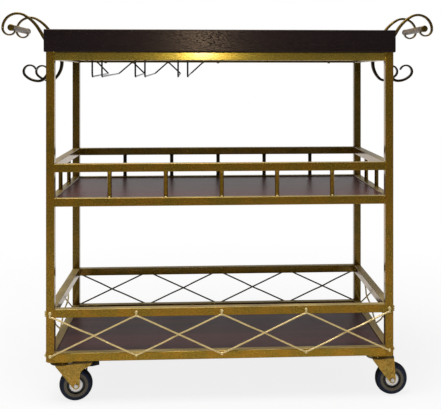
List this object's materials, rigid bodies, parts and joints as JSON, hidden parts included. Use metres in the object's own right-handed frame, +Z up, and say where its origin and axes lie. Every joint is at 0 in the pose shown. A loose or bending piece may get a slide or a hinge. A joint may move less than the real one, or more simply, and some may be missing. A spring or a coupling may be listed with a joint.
{
  "type": "bar cart",
  "caption": "Rolling bar cart: a square-tube frame with railed shelves, a wooden tray top, scroll handles, a stemware rack and swivel casters.",
  "frame": {"origin": "on the floor, under the middle of the cart", "axes": "+X along the cart's length to the right, +Y to the rear, +Z up; the front faces -Y"},
  "size_m": [1.0586, 0.41, 0.9066],
  "materials": {
    "gold_paint": "satin antique gold spray paint",
    "tray_wood": "dark espresso stain, satin",
    "shelf_wood": "reddish brown walnut laminate, semi-gloss",
    "steel": "zinc plated steel",
    "chrome": "bright nickel plating",
    "hub_plastic": "white nylon",
    "tread_rubber": "matt grey and navy rubber",
    "pedal_plastic": "black moulded plastic"
  },
  "bodies": {
    "frame": {"balusters": "gold_paint", "caster_bolts": "steel", "handle_caps": "gold_paint", "handle_grip_left": "gold_paint", "handle_grip_right": "gold_paint", "handle_scrolls_left": "gold_paint", "handle_scrolls_right": "gold_paint", "kingpins": "steel", "lattice_long": "gold_paint", "lattice_short": "gold_paint", "lattice_studs": "gold_paint", "leg_front_left": "gold_paint", "leg_front_right": "gold_paint", "leg_rear_left": "gold_paint", "leg_rear_right": "gold_paint", "lower_guard_front": "gold_paint", "lower_guard_rear": "gold_paint", "lower_guard_sides": "gold_paint", "lower_rail_front": "gold_paint", "lower_rail_rear": "gold_paint", "lower_rail_sides": "gold_paint", "lower_shelf_board": "shelf_wood", "middle_guard_front": "gold_paint", "middle_guard_rear": "gold_paint", "middle_guard_sides": "gold_paint", "middle_rail_front": "gold_paint", "middle_rail_rear": "gold_paint", "middle_rail_sides": "gold_paint", "middle_shelf_board": "shelf_wood", "shelf_screws": "steel", "shelf_tabs": "gold_paint", "stemware_rack": "gold_paint", "swivel_balls": "steel", "swivel_plates": "gold_paint", "top_rail_front": "gold_paint", "top_rail_rear": "gold_paint", "top_rail_sides": "gold_paint", "tray_base": "tray_wood", "tray_rims": "tray_wood", "tray_screws": "steel"},
    "front_left_caster": {"front_left_fork": "gold_paint", "front_left_axle": "chrome", "front_left_brake_pin": "gold_paint"},
    "front_left_wheel_set": {"front_left_wheel": "hub_plastic", "front_left_tyre": "tread_rubber"},
    "front_left_brake": {"front_left_brake_pedal": "pedal_plastic"},
    "front_right_caster": {"front_right_fork": "gold_paint", "front_right_axle": "chrome"},
    "front_right_wheel_set": {"front_right_wheel": "hub_plastic", "front_right_tyre": "tread_rubber"},
    "rear_left_caster": {"rear_left_fork": "gold_paint", "rear_left_axle": "chrome", "rear_left_brake_pin": "gold_paint"},
    "rear_left_wheel_set": {"rear_left_wheel": "hub_plastic", "rear_left_tyre": "tread_rubber"},
    "rear_left_brake": {"rear_left_brake_pedal": "pedal_plastic"},
    "rear_right_caster": {"rear_right_fork": "gold_paint", "rear_right_axle": "chrome"},
    "rear_right_wheel_set": {"rear_right_wheel": "hub_plastic", "rear_right_tyre": "tread_rubber"}
  },
  "joints": [
    {"name": "front_left_swivel", "type": "hinge", "parent": "frame", "child": "front_left_caster", "pos_m": [-0.369, -0.169, 0.0925], "axis": [0, 0, 1], "continuous": true},
    {"name": "front_left_roll", "type": "hinge", "parent": "front_left_caster", "child": "front_left_wheel_set", "pos_m": [-0.33731, -0.16455, 0.038], "axis": [-0.1392, 0.9903, 0], "continuous": true},
    {"name": "front_left_brake_press", "type": "hinge", "parent": "front_left_caster", "child": "front_left_brake", "pos_m": [-0.31355, -0.16121, 0.0825], "axis": [-0.1392, 0.9903, 0], "range_deg": [0, 12]},
    {"name": "front_right_swivel", "type": "hinge", "parent": "frame", "child": "front_right_caster", "pos_m": [0.369, -0.169, 0.0925], "axis": [0, 0, 1], "continuous": true},
    {"name": "front_right_roll", "type": "hinge", "parent": "front_right_caster", "child": "front_right_wheel_set", "pos_m": [0.401, -0.169, 0.038], "axis": [0, 1, 0], "continuous": true},
    {"name": "rear_left_swivel", "type": "hinge", "parent": "frame", "child": "rear_left_caster", "pos_m": [-0.369, 0.169, 0.0925], "axis": [0, 0, 1], "continuous": true},
    {"name": "rear_left_roll", "type": "hinge", "parent": "rear_left_caster", "child": "rear_left_wheel_set", "pos_m": [-0.337, 0.169, 0.038], "axis": [0, 1, 0], "continuous": true},
    {"name": "rear_left_brake_press", "type": "hinge", "parent": "rear_left_caster", "child": "rear_left_brake", "pos_m": [-0.313, 0.169, 0.0825], "axis": [0, 1, 0], "range_deg": [0, 12]},
    {"name": "rear_right_swivel", "type": "hinge", "parent": "frame", "child": "rear_right_caster", "pos_m": [0.369, 0.169, 0.0925], "axis": [0, 0, 1], "continuous": true},
    {"name": "rear_right_roll", "type": "hinge", "parent": "rear_right_caster", "child": "rear_right_wheel_set", "pos_m": [0.401, 0.169, 0.038], "axis": [0, 1, 0], "continuous": true}
  ]
}
